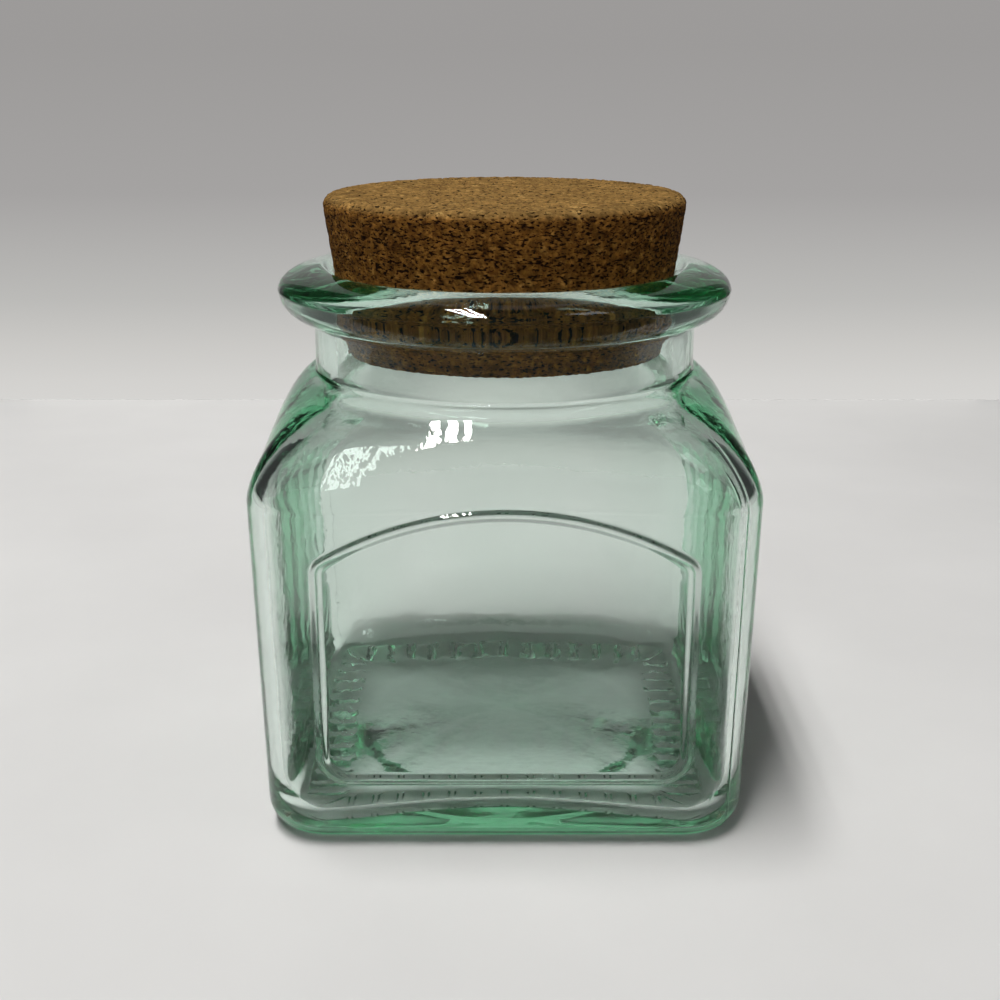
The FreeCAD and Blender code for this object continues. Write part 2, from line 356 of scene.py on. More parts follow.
def ring_mesh(rows, first_centre, last_centre):
    """Closed mesh through the rows, with a fan of triangles at each end."""
    bm = bmesh.new()
    rings = [[bm.verts.new(point) for point in ring] for ring in rows]
    count = len(ANGLES)
    for low, high in zip(rings, rings[1:]):
        for j in range(count):
            k = (j + 1) % count
            bm.faces.new((low[j], low[k], high[k], high[j]))
    start = bm.verts.new(first_centre)
    end = bm.verts.new(last_centre)
    for j in range(count):
        k = (j + 1) % count
        bm.faces.new((start, rings[0][k], rings[0][j]))
        bm.faces.new((end, rings[-1][j], rings[-1][k]))
    return bm


def arc_distance(x, z, centre, radius, first, last):
    """Distance to an arc, given by its first and last angle."""
    dx = x - centre[0]
    dz = z - centre[1]
    angle = min(max(math.atan2(dz, dx), first), last)
    return math.hypot(dx - radius * math.cos(angle), dz - radius * math.sin(angle))


def ridge_distance(x, z):
    """Distance on the front face to the arched panel's outline."""
    x = abs(x)
    low = PANEL_LOWER_CORNER
    high = PANEL_UPPER_CORNER
    arch_radius = (FLAT_HALF ** 2 + PANEL_ARCH_RISE ** 2) / (2 * PANEL_ARCH_RISE)
    arch_z = PANEL_CROWN_Z - arch_radius
    lift = math.sqrt((arch_radius - high) ** 2 - (FLAT_HALF - high) ** 2)
    corner_angle = math.atan2(lift, FLAT_HALF - high)
    low_z = PANEL_BOTTOM_Z + low
    high_z = arch_z + lift
    bottom = math.hypot(max(x - FLAT_HALF + low, 0), z - PANEL_BOTTOM_Z)
    side = math.hypot(x - FLAT_HALF, max(low_z - z, z - high_z, 0))
    return min(
        bottom,
        side,
        arc_distance(x, z, (FLAT_HALF - low, low_z), low, -QUARTER, 0),
        arc_distance(x, z, (FLAT_HALF - high, high_z), high, 0, corner_angle),
        arc_distance(x, z, (0, arch_z), arch_radius, corner_angle, QUARTER),
    )


def ridge_height(distance):
    """Rounded ridge that runs out softly into the wall."""
    if distance >= RIDGE_RUN_OUT:
        return 0
    crown = RIDGE_HEIGHT * (1 - (distance / RIDGE_HALF_WIDTH) ** 2)
    return (crown + math.hypot(crown, RIDGE_SOFTNESS)) / 2


def bar_frames():
    """Turn and sideways place of each grip bar, and how far from the axis its outer end is."""
    reach = BASE_HALF - HEEL_RADIUS
    corner_reach = FLAT_HALF * math.sqrt(2) + reach - FLAT_HALF
    each_way = int(FLAT_HALF // BAR_PITCH)
    frames = []
    for side in range(4):
        turn = side * QUARTER
        for place in range(-each_way, each_way + 1):
            frames.append((turn, place * BAR_PITCH, reach))
        frames.append((turn + QUARTER / 2, 0.0, corner_reach))
    return [(math.cos(turn), math.sin(turn), place, reach) for turn, place, reach in frames]


BARS = bar_frames()


def bar_height(x, y):
    """Height of the grip bar under a point of the base, below zero outside the bars."""
    best = -1.0
    slope = BASE_Z / ((BAR_ROOT - BAR_CROWN) / 2)
    for cos_turn, sin_turn, place, reach in BARS:
        outward = x * cos_turn + y * sin_turn
        aside = abs(y * cos_turn - x * sin_turn - place)
        if aside < BAR_ROOT:
            end = min(reach - outward, outward - reach + BAR_LENGTH)
            best = max(best, min(BAR_ROOT / 2 - aside, end) * slope)
    return best


def refine(bm, wanted):
    """Splits the faces whose centre is wanted into a finer grid."""
    faces = [face for face in bm.faces if wanted(face.calc_center_median())]
    edges = list({edge for face in faces for edge in face.edges})
    bmesh.ops.subdivide_edges(bm, edges=edges, cuts=REFINE_CUTS, use_grid_fill=True)


def on_front(point):
    """True on the outside of the front wall."""
    return point.y < -(BASE_HALF - CORNER_WALL / 2) and point.z > WALL_LOW_Z


def raise_ridge(bm):
    """Panel ridge on the front wall."""
    reach = RIDGE_HALF_WIDTH + RIDGE_MARGIN
    refine(bm, lambda point: on_front(point) and ridge_distance(point.x, point.z) < reach)
    for vert in bm.verts:
        if on_front(vert.co):
            vert.co.y -= ridge_height(ridge_distance(vert.co.x, vert.co.z))


def on_bearing_ring(point):
    """True under the base, outside its flat disc."""
    return point.z < UNDERSIDE_TOP_Z and point.xy.length > DISC_RADIUS


def raise_bars(bm):
    """Grip bars under the base, down to z = 0."""
    refine(bm, lambda point: on_bearing_ring(point) and bar_height(point.x, point.y) > -BAR_MARGIN)
    for vert in bm.verts:
        if on_bearing_ring(vert.co):
            vert.co.z -= BASE_Z * float(smooth(0, 1, bar_height(vert.co.x, vert.co.y) / BASE_Z))


def is_outer(x, y, z):
    """True outside the middle of the glass at the corners of the body and, roughly, of the shoulder."""
    on_wall = z <= SHOULDER_LOW_Z
    if on_wall:
        inner = wall_half(max(z, WALL_LOW_Z)) - CORNER_WALL / 2
    else:
        height = (z - SHOULDER_LOW_Z) / SHOULDER_RISE
        lean = math.sqrt(max(1 - height ** (2 / SHOULDER_POWER), 0)) ** SHOULDER_POWER
        inner = NECK_RADIUS + (BODY_HALF - NECK_RADIUS) * lean - CORNER_WALL / 2
    flat = min(FLAT_HALF, inner)
    diagonal = flat * math.sqrt(2) + (inner - flat)
    return math.hypot(x, y) > diagonal * (1 if on_wall else SEAM_SHOULDER_SLACK)


def raise_corner_seams(bm):
    """Fine mould seam down two opposite corners, from the heel to the neck."""
    least_reach = CORNER_REACH * SEAM_LEAST_REACH
    for vert in bm.verts:
        x, y, z = vert.co
        on_body = BASE_Z < z < SHOULDER_LOW_Z + SHOULDER_RISE and math.hypot(x, y) > least_reach
        if not (on_body and is_outer(x, y, z)):
            continue
        for angle in SEAM_ANGLES:
            aside = abs(-x * math.sin(angle) + y * math.cos(angle))
            along = x * math.cos(angle) + y * math.sin(angle)
            if along > 0 and aside < SEAM_HALF_WIDTH:
                rise = SEAM_HEIGHT * (1 - aside / SEAM_HALF_WIDTH)
                vert.co.x += rise * math.cos(angle)
                vert.co.y += rise * math.sin(angle)


def ripple(bm):
    """Slight waves of hand-finished glass, strongest on the floor and stronger inside than outside."""
    bm.normal_update()
    moves = []
    for vert in bm.verts:
        place = vert.co / RIPPLE_LENGTH
        wave = sum(weight * noise.noise(place * pitch) for pitch, weight in RIPPLE_WAVES)
        towards_axis = vert.normal.x * vert.co.x + vert.normal.y * vert.co.y < 0
        on_floor = vert.normal.z > FLOOR_FACING and vert.co.z < INNER_HEEL_TOP_Z
        height = FLOOR_RIPPLE if on_floor else INNER_RIPPLE if towards_axis else OUTER_RIPPLE
        moves.append(vert.normal * wave * height)
    for vert, move in zip(bm.verts, moves):
        if vert.co.z > UNDERSIDE_TOP_Z:
            vert.co += move


def finish_mesh(bm, name, material):
    """Smooth-shaded object from a bmesh."""
    mesh = bpy.data.meshes.new(name)
    bm.to_mesh(mesh)
    bm.free()
    mesh.polygons.foreach_set("use_smooth", [True] * len(mesh.polygons))
    mesh.materials.append(material)
    obj = bpy.data.objects.new(name, mesh)
    bpy.context.scene.collection.objects.link(obj)
    return obj


def glass_body(material):
    """The whole jar as one watertight skin of glass."""
    rows = underside_rows() + outside_rows() + rim_rows() + inside_rows()
    bm = ring_mesh(rows, (0, 0, BASE_Z - DISC_PROUD), (0, 0, FLOOR_CENTRE_Z))
    raise_ridge(bm)
    raise_bars(bm)
    raise_corner_seams(bm)
    ripple(bm)
    return finish_mesh(bm, "glass_body", material)


# Cork: outline and mesh
CORK_TAPER = math.radians(8.3)
CORK_TOP_ROUNDING = 2.2 * MM
CORK_BOTTOM_ROUNDING = 1.0 * MM
CORK_TOP_ROWS = 7
CORK_BOTTOM_ROWS = 4
CORK_COLUMNS = 512
CORK_LEAST_COLUMNS = 16
CORK_STEP = 0.46 * MM
CORK_BOTTOM_STEP = 2 * CORK_STEP
CORK_LEAST_STEP = 0.5 * CORK_STEP

# Cork: granules and the joints between them; widths and warps are shares of a granule
GRANULE = 1.3 * MM
GRANULE_FLATNESS = 0.75
GRANULE_WARP = 0.25
GRANULE_WARP_PITCH = 0.9
GRANULE_STAGGER = 0.14 * MM
GRANULE_SEED = 7.3
JOINT_WIDTH = 0.28
JOINT_DEPTH = 0.16 * MM
JOINT_DARKNESS = 0.35

# Cork: pits; radius and warp are shares of their spacing
PIT_SPACING = 3.4 * MM
PIT_WARP = 0.12
PIT_WARP_PITCH = 0.6
PIT_SEED = 11.9
PIT_SHARE = 0.4
PIT_DEPTH = 0.9 * MM
PIT_RADIUS_SHARE = 0.3
PIT_LEAST_SIZE = 0.5
PIT_FLOOR_SHARE = 0.35

# Cork: how the handled part passes into the seated part, and the top into the side
HANDLED_HALF = 4 * MM
# Share of the side's painted shade that the seated part keeps
SEATED_SIDE_SHARE = 0.3
SIDE_FACING = (0.1, 0.9)
CORK_LAYERS = ("granule_tint", "pit", "side", "seated")

# Cork: seed of the noise vectors that warp granules and pits, which change from run to run without one
CORK_SEED = 5


def cork_profile():
    """(radius, height) points from the middle of the top, down the side, to the middle of the bottom."""
    slope = math.tan(CORK_TAPER)
    top_round = CORK_TOP_ROUNDING
    low_round = CORK_BOTTOM_ROUNDING
    top_centre = (cork_high.x - top_round, cork_high.z - top_round)
    side_top = (top_centre[0] + top_round * math.cos(CORK_TAPER),
                cork_high.z - top_round * (1 + math.sin(CORK_TAPER)))
    drop = side_top[1] - cork_low.z - low_round * (1 - math.sin(CORK_TAPER))
    side_low = (side_top[0] - drop * slope, side_top[1] - drop)
    low_centre = (side_low[0] - low_round * math.cos(CORK_TAPER), cork_low.z + low_round)
    points = []
    for share in steps(int(top_centre[0] / CORK_STEP)):
        points.append((top_centre[0] * share, cork_high.z))
    for share in steps(CORK_TOP_ROWS):
        angle = QUARTER - share * (QUARTER + CORK_TAPER)
        points.append((top_centre[0] + top_round * math.cos(angle),
                       top_centre[1] + top_round * math.sin(angle)))
    for share in steps(int(drop / CORK_STEP)):
        points.append((side_top[0] - drop * slope * share, side_top[1] - drop * share))
    for share in steps(CORK_BOTTOM_ROWS):
        angle = -CORK_TAPER - share * (QUARTER - CORK_TAPER)
        points.append((low_centre[0] + low_round * math.cos(angle),
                       low_centre[1] + low_round * math.sin(angle)))
    for share in steps(int(low_centre[0] / CORK_BOTTOM_STEP))[:-1]:
        points.append((low_centre[0] * (1 - share), cork_low.z))
    return points


def columns_at(radius):
    """Columns of a cork ring: halved each time the radius halves."""
    count = CORK_COLUMNS
    while radius * 2 * math.pi / count < CORK_LEAST_STEP and count > CORK_LEAST_COLUMNS:
        count //= 2
    return count


def join_rings(bm, upper, lower):
    """Faces between two cork rings, of which one may have half as many points as the other."""
    if len(upper) == len(lower):
        count = len(upper)
        for j in range(count):
            k = (j + 1) % count
            bm.faces.new((upper[j], lower[j], lower[k], upper[k]))
        return
    flip = len(upper) > len(lower)
    few, many = (lower, upper) if flip else (upper, lower)
    for j in range(len(few)):
        k = (j + 1) % len(few)
        first, middle, last = many[2 * j], many[2 * j + 1], many[(2 * j + 2) % len(many)]
        for corners in ((few[j], first, middle), (few[j], middle, few[k]), (few[k], middle, last)):
            bm.faces.new(corners[::-1] if flip else corners)


def cork_mesh():
    """Plain tapered cork as a closed mesh, with a layer for each thing that its material reads."""
    bm = bmesh.new()
    for name in CORK_LAYERS:
        bm.verts.layers.float.new(name)
    rings = []
    for radius, z in cork_profile():
        count = columns_at(radius)
        ring = []
        for j in range(count):
            angle = j / count * 2 * math.pi
            ring.append(bm.verts.new((radius * math.cos(angle), radius * math.sin(angle), z)))
        rings.append(ring)
    for upper, lower in zip(rings, rings[1:]):
        join_rings(bm, upper, lower)
    top = bm.verts.new((0, 0, cork_high.z))
    bottom = bm.verts.new((0, 0, cork_low.z))
    for centre, ring, turned in ((top, rings[0], False), (bottom, rings[-1], True)):
        for j in range(len(ring)):
            pair = (ring[j], ring[(j + 1) % len(ring)])
            bm.faces.new((centre,) + (pair[::-1] if turned else pair))
    return bm


def cell_share(cell, seed):
    """Random share from 0 to 1 that belongs to a cell."""
    return noise.cell(cell * seed) * 0.5 + 0.5


def cork_relief(point):
    """Depth of the granules, joints and pits at a point, a tint for its granule, and how dark its pit is."""
    flattened = Vector((point.x, point.y, point.z / GRANULE_FLATNESS))
    place = flattened / GRANULE
    place += noise.noise_vector(place * GRANULE_WARP_PITCH) * GRANULE_WARP
    near, cells = noise.voronoi(place)
    joint = 1 - float(smooth(0.0, JOINT_WIDTH, near[1] - near[0]))
    tint = cell_share(cells[0], GRANULE_SEED)
    pit_place = flattened / PIT_SPACING
    pit_place += noise.noise_vector(place * PIT_WARP_PITCH) * PIT_WARP
    pit_near, pit_cells = noise.voronoi(pit_place)
    chance = cell_share(pit_cells[0], PIT_SEED)
    pit = 0.0
    if chance < PIT_SHARE:
        radius = PIT_RADIUS_SHARE * (PIT_LEAST_SIZE + chance / PIT_SHARE * (1 - PIT_LEAST_SIZE))
        pit = 1 - float(smooth(radius * PIT_FLOOR_SHARE, radius, pit_near[0]))
    depth = joint * JOINT_DEPTH + tint * GRANULE_STAGGER + pit * PIT_DEPTH
    return depth, tint, max(pit, joint * JOINT_DARKNESS)


def cork_body(material):
    """Tapered cork with real granules and pits in its skin."""
    bm = cork_mesh()
    bm.normal_update()
    noise.seed_set(CORK_SEED)
    tint, pit, side, seated = [bm.verts.layers.float[name] for name in CORK_LAYERS]
    moves = []
    for vert in bm.verts:
        depth, vert[tint], vert[pit] = cork_relief(vert.co)
        handled = float(smooth(JAR_TOP_Z - HANDLED_HALF, JAR_TOP_Z + HANDLED_HALF, vert.co.z))
        # The side layer holds how far a point faces sideways, for the painted shade of the side
        side_share = SEATED_SIDE_SHARE + (1 - SEATED_SIDE_SHARE) * handled
        vert[side] = side_share * (1 - float(smooth(*SIDE_FACING, vert.normal.z)))
        # The seated layer marks where the neck holds the cork, for the painted light there
        vert[seated] = 1 - handled
        moves.append(vert.normal * -depth)
    for vert, move in zip(bm.verts, moves):
        vert.co += move
    return finish_mesh(bm, "cork_body", material)


WHITE = (1.0, 1.0, 1.0)
BLACK = (0.0, 0.0, 0.0)


def grey(value):
    """Colour without hue."""
    return (value, value, value)


def new_material(name):
    """Material with its nodes, its links and its shader."""
    material = bpy.data.materials.new(name)
    material.use_nodes = True
    nodes = material.node_tree.nodes
    return material, nodes, material.node_tree.links, nodes["Principled BSDF"]


def noise_node(nodes, links, source, scale, detail=3.0, roughness=0.5):
    """Noise texture with scale in waves per metre."""
    node = nodes.new("ShaderNodeTexNoise")
    node.inputs["Scale"].default_value = scale
    node.inputs["Detail"].default_value = detail
    node.inputs["Roughness"].default_value = roughness
    links.new(source, node.inputs["Vector"])
    return node.outputs["Fac"]


def cells_node(nodes, links, source, scale):
    """Outputs of a cell texture with scale in cells per metre."""
    node = nodes.new("ShaderNodeTexVoronoi")
    node.inputs["Scale"].default_value = scale
    links.new(source, node.inputs["Vector"])
    return node.outputs


def attribute_node(nodes, name):
    """Number that a layer of the mesh holds."""
    node = nodes.new("ShaderNodeAttribute")
    node.attribute_name = name
    return node.outputs["Fac"]


def split_node(nodes, links, source):
    """X, Y and Z outputs of a vector."""
    node = nodes.new("ShaderNodeSeparateXYZ")
    links.new(source, node.inputs["Vector"])
    return node.outputs


def math_node(nodes, links, operation, *values):
    """Result of an operation on sockets or numbers."""
    node = nodes.new("ShaderNodeMath")
    node.operation = operation
    for socket, value in zip(node.inputs, values):
        if isinstance(value, bpy.types.NodeSocket):
            links.new(value, socket)
        else:
            socket.default_value = value
    return node.outputs["Value"]


def range_node(nodes, links, source, low, high, first=0.0, last=1.0, kind="LINEAR"):
    """Number that goes from first to last while the source goes from low to high."""
    node = nodes.new("ShaderNodeMapRange")
    node.interpolation_type = kind
    values = {"From Min": low, "From Max": high, "To Min": first, "To Max": last}
    for name, value in values.items():
        node.inputs[name].default_value = value
    links.new(source, node.inputs["Value"])
    return node.outputs["Result"]


def ramp_node(nodes, links, source, stops):
    """Colour ramp through (position, grey or colour) stops."""
    node = nodes.new("ShaderNodeValToRGB")
    elements = node.color_ramp.elements
    while len(elements) < len(stops):
        elements.new(0.5)
    for element, (position, colour) in zip(elements, stops):
        element.position = position
        element.color = (colour if isinstance(colour, tuple) else grey(colour)) + (1.0,)
    links.new(source, node.inputs["Fac"])
    return node.outputs["Color"]


def mix_node(nodes, links, factor, first, second, mode="MIX"):
    """Colour mix; first and second are sockets or colours, factor a socket or a number."""
    node = nodes.new("ShaderNodeMix")
    node.data_type = "RGBA"
    node.blend_type = mode
    for socket, value in ((node.inputs[0], factor), (node.inputs[6], first), (node.inputs[7], second)):
        if isinstance(value, bpy.types.NodeSocket):
            links.new(value, socket)
        else:
            socket.default_value = value if isinstance(value, float) else value + (1.0,)
    return node.outputs[2]


def multiply_node(nodes, links, first, second):
    """Product of two colours."""
    return mix_node(nodes, links, 1.0, first, second, "MULTIPLY")


def bump_node(nodes, links, height, distance, strength=1.0, normal=None):
    """Bump whose height from 0 to 1 stands for a distance in metres."""
    node = nodes.new("ShaderNodeBump")
    node.inputs["Distance"].default_value = distance
    node.inputs["Strength"].default_value = strength
    links.new(height, node.inputs["Height"])
    if normal is not None:
        links.new(normal, node.inputs["Normal"])
    return node.outputs["Normal"]


# Glass: body tint, wipe marks and orange peel
GLASS_IOR = 1.5
GLASS_TINT = (0.06, 0.69, 0.37)
GLASS_DENSITY = 20.0
WIPE_SCALE = 60.0
WIPE_ROUGHNESS_STOPS = [(0.45, 0.0), (0.75, 0.03)]
WIPE_COLOUR_STOPS = [(0.3, (0.99, 1.0, 0.995)), (0.8, (0.965, 0.985, 0.975))]
PEEL_SCALE = 420.0
PEEL_HEIGHT = 0.02 * MM


def glass_material():
    """Pale green glass: clear skin, tint that deepens with thickness, faint wipes and orange peel."""
    material, nodes, links, shader = new_material("green_glass")
    place = nodes.new("ShaderNodeTexCoord").outputs["Object"]
    shader.inputs["Transmission Weight"].default_value = 1.0
    shader.inputs["IOR"].default_value = GLASS_IOR
    wipes = noise_node(nodes, links, place, WIPE_SCALE, detail=5.0, roughness=0.65)
    links.new(ramp_node(nodes, links, wipes, WIPE_ROUGHNESS_STOPS), shader.inputs["Roughness"])
    links.new(ramp_node(nodes, links, wipes, WIPE_COLOUR_STOPS), shader.inputs["Base Color"])
    peel = noise_node(nodes, links, place, PEEL_SCALE, detail=2.0)
    links.new(bump_node(nodes, links, peel, PEEL_HEIGHT), shader.inputs["Normal"])
    volume = nodes.new("ShaderNodeVolumeAbsorption")
    volume.inputs["Color"].default_value = GLASS_TINT + (1.0,)
    volume.inputs["Density"].default_value = GLASS_DENSITY
    links.new(volume.outputs["Volume"], nodes["Material Output"].inputs["Volume"])
    return material


# Cork: colours, painted shade that multiplies them down the side, and painted light that multiplies them
# where the neck holds the cork, for the light that the glass keeps from it
CORK_DARK = (0.13, 0.064, 0.016)
CORK_MIDDLE = (0.30, 0.167, 0.047)
CORK_PALE = (0.5, 0.31, 0.1)
CORK_PIT = (0.012, 0.005, 0.0015)
# A paler, even brown blended over the top of the cork
CORK_TOP_BLEND = (0.34, 0.2, 0.065)
# Painted shade: a darker, redder brown down the side of the cork
CORK_SIDE_PAINTED_SHADE = (0.82, 0.64, 0.42)
# Painted light: a brighter, redder brown where the neck holds the cork, for the light that the glass keeps
# from it
CORK_SEATED_PAINTED_LIGHT = (1.32, 0.96, 0.62)
CORK_SPECULAR = 0.05
TOP_BLEND_SHARE = 0.35
SIDE_CRACKS = -0.06

# Cork: scales of its textures, and the stops that turn them into tones and shares
GRAIN_SCALE = 900.0
PATCH_SCALE = 160.0
FINE_GRANULE_SCALE = 1000.0
CRACK_SCALE = 1000.0
CRACK_FLATNESS = 2.4
SPECK_SCALE = 700.0
TINT_STOPS = [(0.0, CORK_DARK), (0.35, CORK_MIDDLE), (0.8, CORK_MIDDLE), (1.0, CORK_PALE)]
GRAIN_STOPS = [(0.3, 0.5), (0.5, 1.0), (0.72, 1.4)]
FINE_STOPS = [(0.1, 0.6), (0.9, 1.3)]
DRIFT_STOPS = [(0.3, 0.82), (0.7, 1.15)]
CRACK_STOPS = [(0.36, 1.0), (0.42, 0.0)]
SPECK_STOPS = [(0.12, 1.0), (0.3, 0.0)]
SPECK_PATCH_STOPS = [(0.5, 0.0), (0.62, 0.8)]
CORK_ROUGHNESS_STOPS = [(0.3, 0.95), (0.7, 0.75)]

# Cork: distance and strength of each bump
GRAIN_BUMP = (0.5 * MM, 0.7)
CRACK_BUMP = (0.8 * MM, 0.8)


def cork_paint(nodes, links, place, grain):
    """Browns of the granules, with the painted shade of the side, the painted light where the neck holds the
    cork, and a paler, even brown blended over the top.
    """
    paint = ramp_node(nodes, links, attribute_node(nodes, "granule_tint"), TINT_STOPS)
    paint = multiply_node(nodes, links, paint, ramp_node(nodes, links, grain, GRAIN_STOPS))
    fine = cells_node(nodes, links, place, FINE_GRANULE_SCALE)["Color"]
    paint = multiply_node(nodes, links, paint, ramp_node(nodes, links, fine, FINE_STOPS))
    side = attribute_node(nodes, "side")
    # Painted shade: the side of the cork is darker than its top
    side_painted_shade = mix_node(nodes, links, side, WHITE, CORK_SIDE_PAINTED_SHADE)
    paint = multiply_node(nodes, links, paint, side_painted_shade)
    # A paler, even brown blended over the top, less of it down the side
    top_blend = math_node(nodes, links, "MULTIPLY_ADD", side, -TOP_BLEND_SHARE, TOP_BLEND_SHARE)
    paint = mix_node(nodes, links, top_blend, paint, CORK_TOP_BLEND)
    # Painted light: the seated part is brighter and redder, for the light that the glass keeps from it
    seated_painted_light = mix_node(nodes, links, attribute_node(nodes, "seated"), WHITE, CORK_SEATED_PAINTED_LIGHT)
    return multiply_node(nodes, links, paint, seated_painted_light)


def cork_flaws(nodes, links, place, paint, crack_noise):
    """Dark cracks, more of them down the side, a slow drift of tone, dark pits, and specks in patches."""
    side = attribute_node(nodes, "side")
    more_at_side = math_node(nodes, links, "MULTIPLY_ADD", side, SIDE_CRACKS, crack_noise)
    paint = mix_node(nodes, links, ramp_node(nodes, links, more_at_side, CRACK_STOPS), paint, CORK_PIT)
    patches = noise_node(nodes, links, place, PATCH_SCALE)
    paint = multiply_node(nodes, links, paint, ramp_node(nodes, links, patches, DRIFT_STOPS))
    paint = mix_node(nodes, links, attribute_node(nodes, "pit"), paint, CORK_PIT)
    from_speck = cells_node(nodes, links, place, SPECK_SCALE)["Distance"]
    specks = ramp_node(nodes, links, from_speck, SPECK_STOPS)
    speck_patches = ramp_node(nodes, links, patches, SPECK_PATCH_STOPS)
    return mix_node(nodes, links, multiply_node(nodes, links, specks, speck_patches), paint, CORK_PIT)


def cork_material():
    """Bonded cork granules of mixed browns, with dark joints, pits, cracks and specks."""
    material, nodes, links, shader = new_material("agglomerated_cork")
    place = nodes.new("ShaderNodeTexCoord").outputs["Object"]
    grain = noise_node(nodes, links, place, GRAIN_SCALE, detail=5.0, roughness=0.7)
    flat = nodes.new("ShaderNodeMapping")
    flat.inputs["Scale"].default_value = (1.0, 1.0, CRACK_FLATNESS)
    links.new(place, flat.inputs["Vector"])
    crack_noise = noise_node(nodes, links, flat.outputs["Vector"], CRACK_SCALE, roughness=0.55)
    paint = cork_paint(nodes, links, place, grain)
    links.new(cork_flaws(nodes, links, place, paint, crack_noise), shader.inputs["Base Color"])
    links.new(ramp_node(nodes, links, grain, CORK_ROUGHNESS_STOPS), shader.inputs["Roughness"])
    shader.inputs["Specular IOR Level"].default_value = CORK_SPECULAR
    rough = bump_node(nodes, links, grain, *GRAIN_BUMP)
    links.new(bump_node(nodes, links, crack_noise, *CRACK_BUMP, rough), shader.inputs["Normal"])
    return material


# Floor: paint, mottling, and painted shade that makes it darker in front and paler towards the back
FLOOR_REACH = 3.0
FLOOR_COLOUR = (0.76, 0.75, 0.732)
FLOOR_ROUGHNESS = 0.65
FLOOR_SPECULAR = 0.3
MOTTLE_SCALE = 14.0
MOTTLE_STOPS = [(0.3, tuple(0.97 * value for value in FLOOR_COLOUR)),
                (0.7, tuple(1.03 * value for value in FLOOR_COLOUR))]
PALER_FROM_Y = -0.12
PALER_TO_Y = 0.3
PAINTED_FALLOFF_STOPS = [(0.0, 0.88), (1.0, 1.06)]

# Painted shade on the floor far in front, which is dimmer where glass shows it
DIM_NEAR_Y = -0.12
DIM_FAR_Y = -0.25
DIM_SHARE = 0.3

# Glow on the floor under the base, with stops from front to back
GLOW_FRONT_Y = -31 * MM
GLOW_BACK_Y = 30 * MM
GLOW_HALF = 36 * MM
GLOW_FULL_HALF = 0.75 * GLOW_HALF
GLOW_STOPS = [(0.0, 0.05), (0.08, 0.42), (0.22, 0.42), (0.38, 0.18), (0.85, 0.17), (1.0, 0.0)]

# Background beyond the stage, and the distances between which the floor fades into it
WORLD_BACKGROUND = 0.6
FADE_FROM = 0.5
FADE_TO = 1.5


def floor_paint(nodes, links, place, depth):
    """Mottled paint with painted shade: darker in front and paler towards the back, and dimmer far in front
    where glass shows it.
    """
    mottle = noise_node(nodes, links, place, MOTTLE_SCALE, detail=4.0)
    paint = ramp_node(nodes, links, mottle, MOTTLE_STOPS)
    # Painted shade: darker towards the front, paler towards the back
    to_the_back = range_node(nodes, links, depth, PALER_FROM_Y, PALER_TO_Y)
    paint = multiply_node(nodes, links, paint, ramp_node(nodes, links, to_the_back, PAINTED_FALLOFF_STOPS))
    # Painted shade: far in front, the floor is dimmer where glass shows it
    far_front = range_node(nodes, links, depth, DIM_NEAR_Y, DIM_FAR_Y)
    through_glass = nodes.new("ShaderNodeLightPath").outputs["Is Transmission Ray"]
    dimmed = math_node(nodes, links, "MULTIPLY", far_front, through_glass)
    return multiply_node(nodes, links, paint, mix_node(nodes, links, dimmed, WHITE, grey(DIM_SHARE)))


def under_base(nodes, links, aside, depth):
    """Glow painted on the table under the base, for the light that the real glass gathers there."""
    along = range_node(nodes, links, depth, GLOW_FRONT_Y, GLOW_BACK_Y)
    from_middle = math_node(nodes, links, "ABSOLUTE", aside)
    across = range_node(nodes, links, from_middle, GLOW_FULL_HALF, GLOW_HALF, 1.0, 0.0)
    middle = (GLOW_FRONT_Y + GLOW_BACK_Y) / 2
    reach = (GLOW_BACK_Y - GLOW_FRONT_Y) / 2
    inside = math_node(nodes, links, "COMPARE", depth, middle, reach)
    share = math_node(nodes, links, "MULTIPLY", across, inside)
    return mix_node(nodes, links, share, BLACK, ramp_node(nodes, links, along, GLOW_STOPS))


def fade_out(nodes, links, place, shader):
    """To the camera, the far floor takes the colour of the background, so that no dark horizon shows."""
    distance = nodes.new("ShaderNodeVectorMath")
    distance.operation = "LENGTH"
    links.new(place, distance.inputs[0])
    far = range_node(nodes, links, distance.outputs["Value"], FADE_FROM, FADE_TO, kind="SMOOTHSTEP")
    to_camera = nodes.new("ShaderNodeLightPath").outputs["Is Camera Ray"]
    seen = math_node(nodes, links, "MULTIPLY", far, to_camera)
    pale = nodes.new("ShaderNodeEmission")
    pale.inputs["Color"].default_value = grey(WORLD_BACKGROUND) + (1.0,)
    both = nodes.new("ShaderNodeMixShader")
    links.new(seen, both.inputs["Fac"])
    links.new(shader.outputs["BSDF"], both.inputs[1])
    links.new(pale.outputs["Emission"], both.inputs[2])
    links.new(both.outputs["Shader"], nodes["Material Output"].inputs["Surface"])


def floor_material():
    """Matt pale table top with a glow under the jar's base."""
    material, nodes, links, shader = new_material("pale_floor")
    place = nodes.new("ShaderNodeTexCoord").outputs["Object"]
    split = split_node(nodes, links, place)
    links.new(floor_paint(nodes, links, place, split["Y"]), shader.inputs["Base Color"])
    links.new(under_base(nodes, links, split["X"], split["Y"]), shader.inputs["Emission Color"])
    shader.inputs["Emission Strength"].default_value = 1.0
    shader.inputs["Roughness"].default_value = FLOOR_ROUGHNESS
    shader.inputs["Specular IOR Level"].default_value = FLOOR_SPECULAR
    fade_out(nodes, links, place, shader)
    return material


# Backdrop: place, size, stops from the floor up, and how much of its light reaches matt surfaces
WALL_Y = 0.337
WALL_WIDTH = 0.42
WALL_HEIGHT = 3.0
